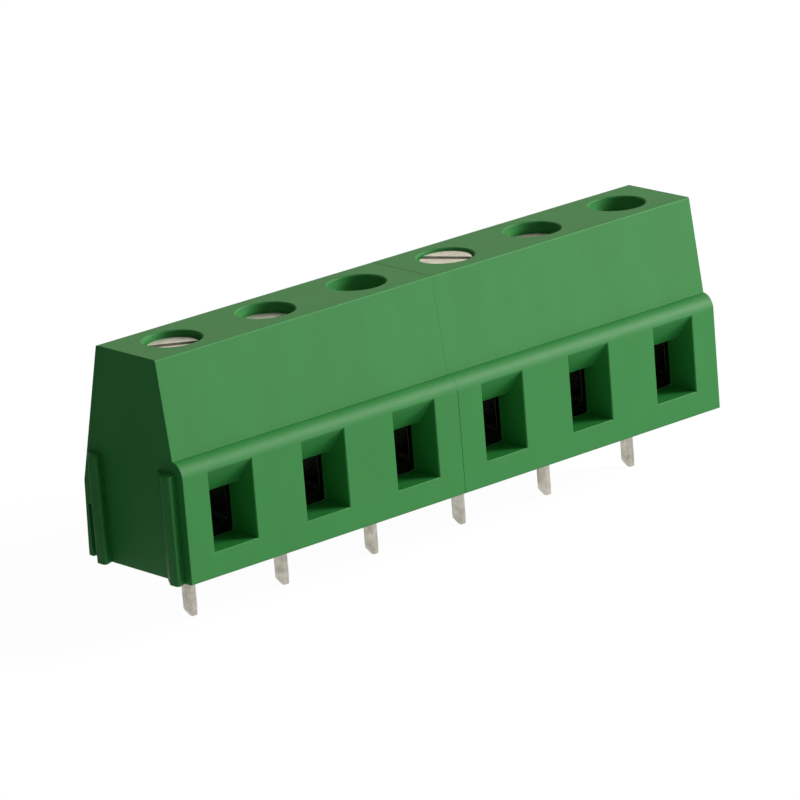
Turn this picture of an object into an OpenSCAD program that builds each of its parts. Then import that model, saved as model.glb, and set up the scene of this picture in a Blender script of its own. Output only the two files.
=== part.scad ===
// Screw terminal for a printed circuit board: a row of rising-cage wire clamps
// in two moulded blocks that hook together on dovetail rails.
// +X runs along the row, -Y faces the wire entries and +Z is up.
// The origin is on the board's surface, midway along the row of solder pins.

/* [Row] */
// Spacing of the poles
pitch = 7.5; // [7:0.1:10]
// Poles in each of the two moulded blocks
block_poles = 3; // [2:1:5]
// Gap left between the two blocks
block_gap = 0.01; // [0.01:0.01:0.1]

/* [Housing] */
// Height of the housing over the board
body_h = 14.2; // [13.5:0.1:20]
// Depth of the housing at the board
body_d = 10.3; // [9.5:0.1:14]
// Distance from the front face back to the row of pins
front_to_pin = 5.3; // [5:0.1:6.5]
// Depth of the flat top
top_d = 5.83; // [5:0.01:7]
// How far the top's front edge stands back from the front face
top_setback = 1.68; // [1:0.01:2]
// Height of the shoulder over the wire entries
shoulder_z = 7.82; // [7.6:0.01:9]
// Depth of the shoulder
shoulder_d = 0.88; // [0.8:0.01:1.2]
// Height over which the shoulder rounds down to the front face
shoulder_drop = 1.05; // [0.5:0.05:1.1]
// Height of the knee in the back wall
knee_z = 5; // [4:0.1:6]
// Draft of the back wall below the knee
knee_in = 0.24; // [0.1:0.01:0.5]
// Rounding of the housing's long edges
edge_r = 0.12; // [0.05:0.01:0.25]
// Rounding of the edges at a block's ends
end_r = 0.03; // [0.01:0.01:0.1]

/* [Dovetail rails] */
// How far the rails stand out of the left end
rail_out = 0.7; // [0.5:0.05:0.9]
// Height of the rails
rail_h = 7.05; // [5:0.05:7.5]
// Width of a rail's outer face
rail_face = 0.85; // [0.6:0.05:1]
// How far a rail's front side is undercut
rail_undercut = 0.3; // [0.1:0.05:0.4]
// Distance from the front face to the front rail
front_rail_y = 0.42; // [0.4:0.01:0.6]
// Length of the ramp behind the front rail
front_rail_ramp = 1.15; // [0.8:0.05:1.4]
// Distance from the front face to the rear rail
rear_rail_y = 7.72; // [7.4:0.01:7.9]
// Length of the ramp behind the rear rail
rear_rail_ramp = 0.85; // [0.6:0.05:1]
// Rounding of a rail's outer corners
rail_r = 0.2; // [0.05:0.05:0.25]
// Height of the relief groove behind the rear rail
relief_h = 3.5; // [1:0.5:3.5]
// Width of that groove
relief_w = 0.42; // [0.3:0.02:0.5]
// Depth of that groove
relief_d = 0.2; // [0.1:0.05:0.3]
// Play between a rail and the groove of the next block
rail_play = 0.05; // [0.02:0.01:0.1]

/* [Wire entry] */
// Width of a wire entry
entry_w = 3.45; // [3:0.05:4.2]
// Height of its floor over the board
entry_floor = 1.65; // [1.5:0.05:2]
// Height of its straight throat
throat_h = 3.4; // [2.8:0.05:3.8]
// Height that the sloping roof adds at the mouth
lead_h = 1.8; // [1:0.05:1.9]
// Depth of the sloping roof
lead_d = 1.6; // [1:0.05:1.9]
// Thickness of the front wall, which the throat passes through
lip_d = 2.5; // [2:0.05:2.6]
// Bevel round the mouth
mouth_bevel = 0.05; // [0.02:0.01:0.1]

/* [Clamp] */
// Distance from the pin row forward to the screw's axis
screw_to_pin = 0.69; // [0.5:0.01:0.9]
// Width inside the cage
cage_in_w = 3.1; // [2.9:0.05:3.6]
// Thickness of the cage's strip
cage_t = 0.8; // [0.6:0.05:1]
// Depth of the cage
cage_d = 3.9; // [3.7:0.05:4.1]
// Depth of the bar that lifts the wire
cage_bar_d = 2; // [1.5:0.05:2]
// How far below the throat's floor the open cage sits
cage_drop = 0.05; // [0.02:0.01:0.1]
// Play around the cage in its pocket
cage_play = 0.12; // [0.08:0.01:0.2]
// How far the cage can rise
cage_travel = 2.5; // [1.5:0.1:2.6]
// Thickness of the contact's strip
contact_t = 0.85; // [0.6:0.05:0.9]
// Width of the contact inside the cage
contact_w = 2.6; // [2:0.05:2.7]
// Width of a solder pin
pin_w = 0.85; // [0.8:0.05:1.2]
// Flat pressed on each corner of a pin
pin_flat = 0.26; // [0.1:0.02:0.3]
// Length of the solder pins below the housing
pin_l = 4; // [3:0.1:5]
// How far the contact's wings reach into each side wall
wing_bite = 0.2; // [0.1:0.05:0.4]

/* [Screw] */
// Thread diameter
thread_d = 3; // [2.5:0.1:3]
// Diameter of the screw's head
head_d = 3.55; // [3.3:0.05:3.8]
// Height of the screw's head
head_h = 1.4; // [1.2:0.05:1.6]
// Width of the driver slot
slot_w = 0.6; // [0.5:0.05:0.8]
// Depth of the driver slot
slot_d = 0.8; // [0.6:0.05:1]
// Play between the head and the hole that guides it
head_play = 0.1; // [0.05:0.01:0.2]
// Play between the screw and the cage's thread
thread_play = 0.05; // [0.02:0.01:0.1]
// How far a fully lowered head lies below the top
head_low = 1.25; // [1:0.05:1.8]
// How far each screw is backed out from there
backed_out = [0.87, 0.61, 0, 1.1, 0.53, 0.35];
// Angle of each driver slot to the row
slot_angle = [-35, -15, 20, -58, -8, 40];

/* [Hidden] */
$fn = 64;
POLES = 2 * block_poles;

green = [0.27, 0.55, 0.31];
zinc = [0.8, 0.81, 0.82];
nickel = [0.62, 0.61, 0.58];
tin = [0.74, 0.73, 0.68];

over = 1;                                   // how far a cutting tool runs past a face
clear = 0.05;                               // room between parts that must not touch
block_l = block_poles * pitch - block_gap;

front_y = -front_to_pin;
back_y = front_y + body_d;
top_front_y = front_y + top_setback;
screw_y = -screw_to_pin;

throat_z = entry_floor + throat_h;
lip_y = front_y + lip_d;

// The strip that leads the current lies just over the throat
bar_z = throat_z + clear;
bar_top = bar_z + contact_t;
bar_y = lip_y + 0.35;
leg_y = -contact_t / 2;
bend_in_r = 0.15;
bar_end_r = 0.2;
wing_z = 0.35;
wing_top = 1.3;
// The pin's point lies at its front, so its back slopes in from further up
nose_w = 0.3;
nose_r = 0.1;
side_taper_l = 0.55;
side_taper_r = 0.8;
back_taper_l = 0.75;
back_taper_r = 1.5;

// The cage hangs on that strip while the clamp is open
cage_out_w = cage_in_w + 2 * cage_t;
cage_floor = entry_floor - cage_drop;
cage_roof = bar_top + clear;
cage_top = cage_roof + 2 * cage_t;
cage_y = screw_y - cage_d / 2;
cage_in_r = 0.35;

pocket_w = cage_out_w + 2 * cage_play;
pocket_back = cage_y + cage_d + cage_play;
pocket_top = cage_top + cage_travel + 3 * clear;
pocket_r = 0.2;
wing_w = pocket_w + 2 * wing_bite;

hole_d = head_d + 2 * head_play;
web_top = pocket_top + 0.6;
web_hole_d = thread_d + 0.3;
hole_chamfer = 0.08;
shank_l = body_h - head_low - head_h - bar_top - clear;
shank_bevel = 0.45;
head_low_r = 0.1;
head_top_r = 0.18;

relief_y = front_y + rear_rail_y + rail_face + rear_rail_ramp + clear;

core_w = 4.4;
core_wall = 1;
core_d = 1.25;
core_h = 5.8;
core_r = 0.3;

// Centre of pole i, counted from 1 at the left end
function pole_x(i) = (i - (POLES + 1) / 2) * pitch;

// The corner p between a and b, as n + 1 points on an arc of radius r
function corner(a, p, b, r, n) =
    let (
        u = (a - p) / norm(a - p),
        v = (b - p) / norm(b - p),
        half = acos(u * v) / 2,
        centre = p + (u + v) / norm(u + v) * r / sin(half),
        first = p + u * r / tan(half) - centre,
        last = p + v * r / tan(half) - centre,
        start = atan2(first.y, first.x),
        swing = atan2(last.y, last.x) - start,
        turn = swing > 180 ? swing - 360 : swing < -180 ? swing + 360 : swing
    )
    [for (k = [0:n]) centre + r * [cos(start + turn * k / n), sin(start + turn * k / n)]];

// A closed outline whose corners are given as [x, y, radius]
function outline(corners, n = 3) = [
    for (i = [0:len(corners) - 1])
        let (
            c = corners[i],
            a = corners[(i + len(corners) - 1) % len(corners)],
            b = corners[(i + 1) % len(corners)]
        )
        each c.z == 0 ? [[c.x, c.y]]
            : corner([a.x, a.y], [c.x, c.y], [b.x, b.y], c.z, n)
];

// Corners of a rectangle, all with one radius
function box_corners(x0, y0, x1, y1, r) = [[x0, y0, r], [x1, y0, r], [x1, y1, r], [x0, y1, r]];

// Outlines drawn in Y and Z, pushed along X from x0 to x1
module along_x(x0, x1) {
    translate([x0, 0, 0]) rotate([90, 0, 90]) linear_extrude(x1 - x0) children();
}

// Outlines drawn in X and Z, pushed along Y from y0 to y1
module along_y(y0, y1) {
    translate([0, y1, 0]) rotate([90, 0, 0]) linear_extrude(y1 - y0) children();
}

// Side view of the housing
module housing_profile() {
    polygon(outline(concat(
        [[back_y, 0, edge_r], [front_y, 0, edge_r]],
        [for (a = [0:9:90])
            [front_y + shoulder_d * (1 - cos(a)), shoulder_z - shoulder_drop * (1 - sin(a)), 0]],
        [[top_front_y, body_h, edge_r],
         [top_front_y + top_d, body_h, edge_r],
         [back_y - knee_in, knee_z, edge_r]]
    ), 5));
}

// Plan of one rail: its front side is undercut and its back is a ramp
module rail_plan(y, ramp, play) {
    face = rail_face + play;
    polygon(outline([
        [over, y + rail_undercut - play, 0],
        [0, y + rail_undercut - play, 0],
        [-rail_out - play, y - play, rail_r],
        [-rail_out - play, y + face, rail_r],
        [0, y + face + ramp, 0],
        [over, y + face + ramp, 0]
    ], 4));
}

// Both rails of a block's left end, which stand on the plane x = 0
module rails(play = 0) {
    translate([0, front_y]) {
        rail_plan(front_rail_y, front_rail_ramp, play);
        rail_plan(rear_rail_y, rear_rail_ramp, play);
    }
}

// The moulded outside of one block, from x = 0 to x = block_l
module block_shell() {
    intersection() {
        along_x(0, block_l) housing_profile();
        translate([0, 0, -over]) linear_extrude(body_h + 2 * over)
            polygon(outline(box_corners(0, front_y, block_l, back_y, end_r)));
        along_y(front_y - over, back_y + over)
            polygon(outline(box_corners(0, 0, block_l, body_h, end_r)));
    }
    linear_extrude(rail_h) rails();
}

// The bevel round a mouth: a slope at its floor and roof, and one at each side
module mouth_bevel_cut() {
    c = mouth_bevel;
    roof_drop = c * lead_h / lead_d;
    top = throat_z + lead_h;
    intersection() {
        along_x(-entry_w, entry_w) polygon([
            [front_y - c, entry_floor - 2 * c],
            [front_y + c, entry_floor],
            [front_y + c, top - roof_drop],
            [front_y - c, top + 2 * c + roof_drop]
        ]);
        linear_extrude(body_h) polygon([
            [-entry_w / 2 - 2 * c, front_y - c],
            [entry_w / 2 + 2 * c, front_y - c],
            [entry_w / 2, front_y + c],
            [-entry_w / 2, front_y + c]
        ]);
    }
}

// What a pole takes out of its block, around x = 0
module pole_cut() {
    mouth_bevel_cut();
    along_x(-entry_w / 2, entry_w / 2) polygon([
        [front_y - over, entry_floor],
        [lip_y + over, entry_floor],
        [lip_y + over, throat_z],
        [front_y + lead_d, throat_z],
        [front_y, throat_z + lead_h],
        [front_y - over, throat_z + lead_h]
    ]);
    translate([0, 0, -over]) linear_extrude(pocket_top + over)
        polygon(outline(box_corners(-pocket_w / 2, lip_y, pocket_w / 2, pocket_back, pocket_r)));
    translate([0, leg_y + contact_t / 2, -over])
        linear_extrude(wing_top + over) square([wing_w, contact_t], center = true);
    translate([0, screw_y, pocket_top - over]) cylinder(h = body_h, d = web_hole_d);
    translate([0, screw_y, web_top]) cylinder(h = body_h, d = hole_d);
    translate([0, screw_y, body_h - hole_chamfer])
        cylinder(h = 2 * hole_chamfer, d1 = hole_d, d2 = hole_d + 4 * hole_chamfer);
    translate([0, 0, -over]) linear_extrude(core_h + over)
        polygon(outline(box_corners(-core_w / 2, pocket_back + core_wall,
            core_w / 2, pocket_back + core_wall + core_d, core_r)));
}

// One moulded block with its left end at x = x0
module housing(x0) {
    color(green) translate([x0, 0, 0]) difference() {
        block_shell();
        for (k = [1:block_poles])
            translate([(k - 0.5) * pitch - block_gap / 2, 0, 0]) pole_cut();
        translate([block_l + block_gap, 0, -over])
            linear_extrude(rail_h + rail_play + over) rails(rail_play);
        translate([-over, relief_y, -over]) cube([over + relief_d, relief_w, over + relief_h]);
    }
}

// The slotted screw of pole i
module screw(i) {
    tip_z = body_h - head_low + backed_out[i - 1] - head_h - shank_l;
    shank_r = thread_d / 2 - thread_play;
    color(zinc) translate([pole_x(i), screw_y, tip_z]) difference() {
        rotate_extrude() polygon(concat(
            [[0, 0], [shank_r - shank_bevel, 0], [shank_r, shank_bevel], [shank_r, shank_l]],
            corner([head_d / 2 - over, shank_l], [head_d / 2, shank_l],
                [head_d / 2, shank_l + head_h], head_low_r, 2),
            corner([head_d / 2, shank_l], [head_d / 2, shank_l + head_h],
                [0, shank_l + head_h], head_top_r, 4),
            [[0, shank_l + head_h]]
        ));
        rotate(slot_angle[i - 1]) translate([-head_d, -slot_w / 2, shank_l + head_h - slot_d])
            cube([2 * head_d, slot_w, slot_d + over]);
    }
}

// The cage of pole i: a strip bent to a closed loop, lapped double at the top
module cage(i) {
    lap_gap = 0.15;
    color(nickel) translate([pole_x(i), 0, 0]) difference() {
        along_y(cage_y, cage_y + cage_d) difference() {
            polygon(outline(box_corners(-cage_out_w / 2, cage_floor,
                cage_out_w / 2, cage_top, cage_in_r + cage_t / 2), 5));
            polygon(outline(box_corners(-cage_in_w / 2, cage_floor + cage_t,
                cage_in_w / 2, cage_roof, cage_in_r), 5));
            translate([cage_in_w / 2 - lap_gap, cage_roof - cage_in_r])
                square([lap_gap, cage_in_r + cage_t]);
        }
        // The lifting bar stops short of the contact's leg
        translate([-cage_in_w / 2, cage_y + cage_bar_d, cage_floor - over])
            cube([cage_in_w, cage_d, over + cage_t + cage_in_r]);
        translate([0, screw_y, cage_roof - over])
            cylinder(h = 2 * cage_t + 2 * over, d = thread_d);
    }
}

// Side view of a contact: a bar bent down into the leg, which ends in the pin
module contact_profile() {
    polygon(outline([
        [bar_y, bar_z, bar_end_r],
        [leg_y, bar_z, bend_in_r],
        [leg_y, -pin_l, nose_w / 2],
        [leg_y + nose_w, -pin_l, nose_r],
        [leg_y + contact_t, back_taper_l - pin_l, back_taper_r],
        [leg_y + contact_t, bar_top, bend_in_r + contact_t / 2],
        [bar_y, bar_top, bar_end_r]
    ], 5));
}

// Front view of a contact: bar and leg, pressed-in wings, and the pin
module contact_front() {
    half = [
        [contact_w / 2, bar_top + over, 0],
        [contact_w / 2, wing_top, 0],
        [wing_w / 2, wing_top, 0],
        [wing_w / 2, wing_z, 0],
        [pin_w / 2, wing_z, 0],
        [pin_w / 2, side_taper_l - pin_l, side_taper_r],
        [nose_w / 2, -pin_l, nose_r]
    ];
    last = len(half) - 1;
    mirrored = [for (k = [0:last]) [-half[last - k].x, half[last - k].y, half[last - k].z]];
    polygon(outline(concat(half, mirrored), 4));
}

// The contact of pole i, pressed up into its block from below
module contact(i) {
    color(tin) translate([pole_x(i), 0, 0]) intersection() {
        along_x(-pitch / 2, pitch / 2) contact_profile();
        along_y(front_y, back_y) contact_front();
        union() {
            translate([-pitch / 2, front_y, wing_z]) cube([pitch, body_d, body_h]);
            translate([0, 0, -pin_l - over]) linear_extrude(pin_l + wing_z + over)
                polygon(outline(box_corners(-pin_w / 2, -contact_t / 2,
                    pin_w / 2, contact_t / 2, pin_flat), 1));
        }
    }
}

housing(-block_poles * pitch + block_gap / 2);  // housing_left
housing(block_gap / 2);  // housing_right
for (i = [1:POLES]) {
    screw(i);
    cage(i);
    contact(i);
}
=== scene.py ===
"""Looks of the six-pole screw terminal: finishes, camera, floor and light."""

import math

import bpy
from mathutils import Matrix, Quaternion, Vector


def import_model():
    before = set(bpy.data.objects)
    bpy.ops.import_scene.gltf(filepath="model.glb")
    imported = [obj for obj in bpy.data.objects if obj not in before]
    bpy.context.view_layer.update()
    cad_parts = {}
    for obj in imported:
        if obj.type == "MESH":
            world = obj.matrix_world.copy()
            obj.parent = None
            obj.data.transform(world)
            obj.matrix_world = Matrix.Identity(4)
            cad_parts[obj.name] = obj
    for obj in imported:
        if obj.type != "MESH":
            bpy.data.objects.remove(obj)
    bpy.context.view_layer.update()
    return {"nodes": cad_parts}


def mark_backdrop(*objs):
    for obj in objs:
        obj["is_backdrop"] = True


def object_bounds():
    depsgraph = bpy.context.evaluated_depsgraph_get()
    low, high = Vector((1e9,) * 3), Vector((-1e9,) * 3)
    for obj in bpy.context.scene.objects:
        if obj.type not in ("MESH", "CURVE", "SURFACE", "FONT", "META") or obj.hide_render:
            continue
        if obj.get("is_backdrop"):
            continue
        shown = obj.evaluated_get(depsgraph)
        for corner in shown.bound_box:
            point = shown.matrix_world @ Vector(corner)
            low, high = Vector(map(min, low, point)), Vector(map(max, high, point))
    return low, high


MM = 0.001

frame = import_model()

# ---------------------------------------------------------------- node helpers


class Graph:
    """Short ways to add and join a material's nodes."""

    def __init__(self, tree):
        self.tree = tree
        tree.nodes.clear()

    def add(self, kind, **settings):
        """A node of that kind, with its own settings."""
        node = self.tree.nodes.new(kind)
        for name, value in settings.items():
            setattr(node, name, value)
        return node

    def put(self, value, socket):
        """Joins an output to an input, or sets the input to a constant."""
        if isinstance(value, bpy.types.NodeSocket):
            self.tree.links.new(value, socket)
        else:
            socket.default_value = value

    def math(self, operation, a, b=0.0, clamp=False):
        node = self.add("ShaderNodeMath", operation=operation, use_clamp=clamp)
        self.put(a, node.inputs[0])
        self.put(b, node.inputs[1])
        return node.outputs[0]

    def noise(self, where, size, detail, rough):
        """Noise whose patches are about size metres across."""
        node = self.add("ShaderNodeTexNoise")
        self.put(where, node.inputs["Vector"])
        node.inputs["Scale"].default_value = 1 / size
        node.inputs["Detail"].default_value = detail
        node.inputs["Roughness"].default_value = rough
        return node.outputs["Fac"]

    def fit(self, value, low, high, to_low, to_high):
        """value taken from one range to another, and held inside it."""
        node = self.add("ShaderNodeMapRange")
        self.put(value, node.inputs["Value"])
        ends = {"From Min": low, "From Max": high, "To Min": to_low, "To Max": to_high}
        for name, end in ends.items():
            self.put(end, node.inputs[name])
        return node.outputs["Result"]

    def mix(self, fac, a, b):
        """Colour a where fac is 0 and colour b where it is 1."""
        node = self.add("ShaderNodeMix", data_type="RGBA")
        self.put(fac, node.inputs["Factor"])
        # A colour mix has its colours at inputs 6 and 7 and its result at output 2
        self.put(a, node.inputs[6])
        self.put(b, node.inputs[7])
        return node.outputs[2]

    def place(self, scale=(1, 1, 1)):
        """Places on the object, in metres, stretched by scale."""
        coords = self.add("ShaderNodeTexCoord").outputs["Object"]
        mapping = self.add("ShaderNodeMapping")
        self.put(coords, mapping.inputs["Vector"])
        mapping.inputs["Scale"].default_value = scale
        return mapping.outputs["Vector"]

    def along(self, vector, axis):
        """One part of a vector: X, Y or Z."""
        node = self.add("ShaderNodeSeparateXYZ")
        self.put(vector, node.inputs[0])
        return node.outputs[axis]

    def bump(self, height, depth, strength, normal):
        """The normal, tilted by a relief of that depth."""
        node = self.add("ShaderNodeBump")
        self.put(height, node.inputs["Height"])
        node.inputs["Distance"].default_value = depth
        node.inputs["Strength"].default_value = strength
        self.put(normal, node.inputs["Normal"])
        return node.outputs["Normal"]

    def soft_edges(self, radius):
        """The surface's normal, turned as if each edge were round."""
        node = self.add("ShaderNodeBevel", samples=6)
        self.put(radius, node.inputs["Radius"])
        return node.outputs["Normal"]


def new_material(name):
    material = bpy.data.materials.new(name)
    material.use_nodes = True
    graph = Graph(material.node_tree)
    shader = graph.add("ShaderNodeBsdfPrincipled")
    output = graph.add("ShaderNodeOutputMaterial")
    graph.put(shader.outputs[0], output.inputs["Surface"])
    return material, graph, shader


def linear(*srgb):
    """A colour given as 0-255 screen values, as the shader's linear RGBA."""
    screen = [v / 255 for v in srgb]
    return tuple(v / 12.92 if v < 0.04045 else ((v + 0.055) / 1.055) ** 2.4 for v in screen) + (1.0,)


# ---------------------------------------------------------------- materials


def moulded_green():
    """Satin green polyamide: fine spark-eroded grain and faint flow marks."""
    flow_size, grain_size, grain_depth = 2.6 * MM, 0.09 * MM, 0.006 * MM
    seam_edge, other_edge = 0.012 * MM, 0.08 * MM
    material, g, shader = new_material("moulded_green")
    here = g.place()
    flow = g.noise(g.place((1, 1, 0.35)), flow_size, 3.0, 0.55)
    grain = g.noise(here, grain_size, 2.0, 0.6)
    fac = g.fit(flow, 0.3, 0.7, 0.0, 1.0)
    colour = g.mix(fac, linear(35, 138, 56), linear(38, 143, 60))
    g.put(colour, shader.inputs["Base Color"])
    g.put(g.fit(grain, 0.3, 0.7, 0.52, 0.62), shader.inputs["Roughness"])
    shader.inputs["Specular IOR Level"].default_value = 0.62
    shader.inputs["Specular Tint"].default_value = (1, 0.97, 0.93, 1)
    # The edges where the two blocks meet are sharp, all others are slightly round
    from_seam = g.math("ABSOLUTE", g.along(here, "X"))
    edge = g.fit(from_seam, 0.1 * MM, 0.25 * MM, seam_edge, other_edge)
    g.put(g.bump(grain, grain_depth, 0.6, g.soft_edges(edge)), shader.inputs["Normal"])
    return material


def plated_metal(name, clean, dull, roughness, mark_depth, mark_size, mark_stretch):
    """Plated metal with fine drawn or turned marks and a little tarnish."""
    tarnish_size, edge = 0.7 * MM, 0.05 * MM
    material, g, shader = new_material(name)
    marks = g.noise(g.place(mark_stretch), mark_size, 3.0, 0.6)
    cloud = g.noise(g.place(), tarnish_size, 3.0, 0.6)
    colour = g.mix(g.fit(cloud, 0.35, 0.75, 0.0, 1.0), linear(*clean), linear(*dull))
    g.put(colour, shader.inputs["Base Color"])
    g.put(g.fit(marks, 0.25, 0.75, roughness - 0.07, roughness + 0.1), shader.inputs["Roughness"])
    shader.inputs["Metallic"].default_value = 1.0
    g.put(g.bump(marks, mark_depth, 0.7, g.soft_edges(edge)), shader.inputs["Normal"])
    return material


# The finish of each kind of node, by the first word of the node's name
zinc = plated_metal(
    "zinc_plate", clean=(238, 236, 230), dull=(205, 202, 192), roughness=0.42,
    mark_depth=0.012 * MM, mark_size=0.12 * MM, mark_stretch=(1, 1, 1))
# The cage's nickel has a near-black colour: painted shade for the dark pocket around it
nickel = plated_metal(
    "nickel_painted_shade", clean=(70, 67, 64), dull=(52, 49, 46), roughness=0.24,
    mark_depth=0.003 * MM, mark_size=0.05 * MM, mark_stretch=(1, 0.1, 1))
tin = plated_metal(
    "tin_plate", clean=(196, 192, 181), dull=(150, 145, 133), roughness=0.3,
    mark_depth=0.003 * MM, mark_size=0.06 * MM, mark_stretch=(1, 1, 0.12))
materials = {"housing": moulded_green(), "screw": zinc, "cage": nickel, "contact": tin}

for name, node in frame["nodes"].items():
    kind = name.split("_")[0]
    node.data.materials.clear()
    node.data.materials.append(materials[kind])

# ---------------------------------------------------------------- camera

TARGET = Vector((-0.2005, 0.2596, 5.3463)) * MM
DISTANCE = 379.99 * MM
AZIMUTH, ELEVATION, ROLL = -39.496, 16.468, -4.678


def away_from_target(azimuth, elevation):
    """Direction at an azimuth from the front towards +X, and an elevation, both in degrees."""
    a, e = math.radians(azimuth), math.radians(elevation)
    return Vector((math.sin(a) * math.cos(e), -math.cos(a) * math.cos(e), math.sin(e)))


back = away_from_target(AZIMUTH, ELEVATION)
camera = bpy.data.objects.new("camera", bpy.data.cameras.new("camera"))
bpy.context.scene.collection.objects.link(camera)
bpy.context.scene.camera = camera
camera.data.sensor_width = 36
camera.data.lens = 266.35
camera.data.clip_start, camera.data.clip_end = 0.01, 10
camera.location = TARGET + back * DISTANCE
camera.rotation_mode = "QUATERNION"
roll = math.radians(ROLL)
camera.rotation_quaternion = (-back).to_track_quat("-Z", "Y") @ Quaternion((0, 0, 1), roll)

# ---------------------------------------------------------------- floor and light


def seen_ray(g):
    """1 for a ray from the camera or off a shiny or clear surface, else 0."""
    path = g.add("ShaderNodeLightPath")
    seen = g.math("ADD", path.outputs["Is Camera Ray"], path.outputs["Is Glossy Ray"])
    return g.math("ADD", seen, path.outputs["Is Transmission Ray"], clamp=True)


def sheet(name, corners):
    """A four-cornered sheet with an empty material of its own."""
    mesh = bpy.data.meshes.new(name)
    mesh.from_pydata(corners, [], [(0, 1, 2, 3)])
    obj = bpy.data.objects.new(name, mesh)
    bpy.context.scene.collection.objects.link(obj)
    material = bpy.data.materials.new(name)
    material.use_nodes = True
    mesh.materials.append(material)
    return obj


def floor():
    """White paper that stays white to the camera, keeps a soft shadow and is clear from below."""
    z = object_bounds()[0].z
    half = 1.5
    obj = sheet("floor", [(-half, -half, z), (half, -half, z), (half, half, z), (-half, half, z)])
    g = Graph(obj.active_material.node_tree)
    paper = g.add("ShaderNodeBsdfDiffuse")
    paper.inputs["Color"].default_value = (0.8, 0.8, 0.8, 1)
    white = g.add("ShaderNodeEmission")
    white.inputs["Strength"].default_value = PAPER_WHITE
    mixed = g.add("ShaderNodeMixShader")
    g.put(g.math("MULTIPLY", seen_ray(g), PAPER_SHARE), mixed.inputs[0])
    g.put(paper.outputs[0], mixed.inputs[1])
    g.put(white.outputs[0], mixed.inputs[2])
    one_sided = g.add("ShaderNodeMixShader")
    g.put(g.add("ShaderNodeNewGeometry").outputs["Backfacing"], one_sided.inputs[0])
    g.put(mixed.outputs[0], one_sided.inputs[1])
    g.put(g.add("ShaderNodeBsdfTransparent").outputs[0], one_sided.inputs[2])
    g.put(one_sided.outputs[0], g.add("ShaderNodeOutputMaterial").inputs["Surface"])
    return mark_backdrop(obj)


def painted_dark_reflection():
    """A black card off the left end that paints a dark reflection on it: only reflections meet it.
    """
    x, y0, y1, z0, z1 = (v * MM for v in (-27, -60, 60, -4, 40))
    obj = sheet("painted_dark_reflection", [(x, y0, z0), (x, y1, z0), (x, y1, z1), (x, y0, z1)])
    g = Graph(obj.active_material.node_tree)
    black = g.add("ShaderNodeEmission")
    black.inputs["Strength"].default_value = 0.02
    g.put(black.outputs[0], g.add("ShaderNodeOutputMaterial").inputs["Surface"])
    obj.visible_camera = obj.visible_diffuse = obj.visible_shadow = obj.visible_transmission = False
    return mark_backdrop(obj)


def world():
    """An even white to the camera. The room that lights the object is darker on the left."""
    studio = bpy.data.worlds.new("studio")
    bpy.context.scene.world = studio
    studio.use_nodes = True
    g = Graph(studio.node_tree)
    sky = g.add("ShaderNodeBackground")
    rightward = g.along(g.add("ShaderNodeTexCoord").outputs["Generated"], "X")
    room = g.fit(rightward, -0.6, 0.5, DARK_SIDE, BRIGHT_SIDE)
    shine = g.fit(rightward, -0.6, 0.5, DARK_SHINE, BRIGHT_SHINE)
    path = g.add("ShaderNodeLightPath")
    light = g.fit(path.outputs["Is Glossy Ray"], 0, 1, room, shine)
    g.put(g.fit(path.outputs["Is Camera Ray"], 0, 1, light, 1.0), sky.inputs["Strength"])
    colour = g.mix(path.outputs["Is Glossy Ray"], (1, 1, 1, 1), WARM)
    g.put(colour, sky.inputs["Color"])
    g.put(sky.outputs[0], g.add("ShaderNodeOutputWorld").inputs["Surface"])


def lamp(name, azimuth, elevation, distance, size, power):
    """A square soft lamp that points at the camera's target."""
    away = away_from_target(azimuth, elevation)
    light = bpy.data.lights.new(name, "AREA")
    light.size = size
    light.energy = power
    obj = bpy.data.objects.new(name, light)
    bpy.context.scene.collection.objects.link(obj)
    obj.location = TARGET + away * distance
    obj.rotation_mode = "QUATERNION"
    obj.rotation_quaternion = (-away).to_track_quat("-Z", "Y")
    return obj


# The room's level on its dark and bright sides, and the level and tint of its reflections
DARK_SIDE, BRIGHT_SIDE = 0.14, 0.30
DARK_SHINE, BRIGHT_SHINE = 0.03, 0.82
WARM = (1, 0.95, 0.82, 1)
# The glow that keeps the paper white to the camera, and its share beside the lit paper
PAPER_WHITE, PAPER_SHARE = 1.09, 0.88
floor()
painted_dark_reflection()
world()
lamp("key", azimuth=54, elevation=22, distance=0.80, size=0.32, power=5.2)

bpy.context.scene.view_settings.view_transform = "Standard"
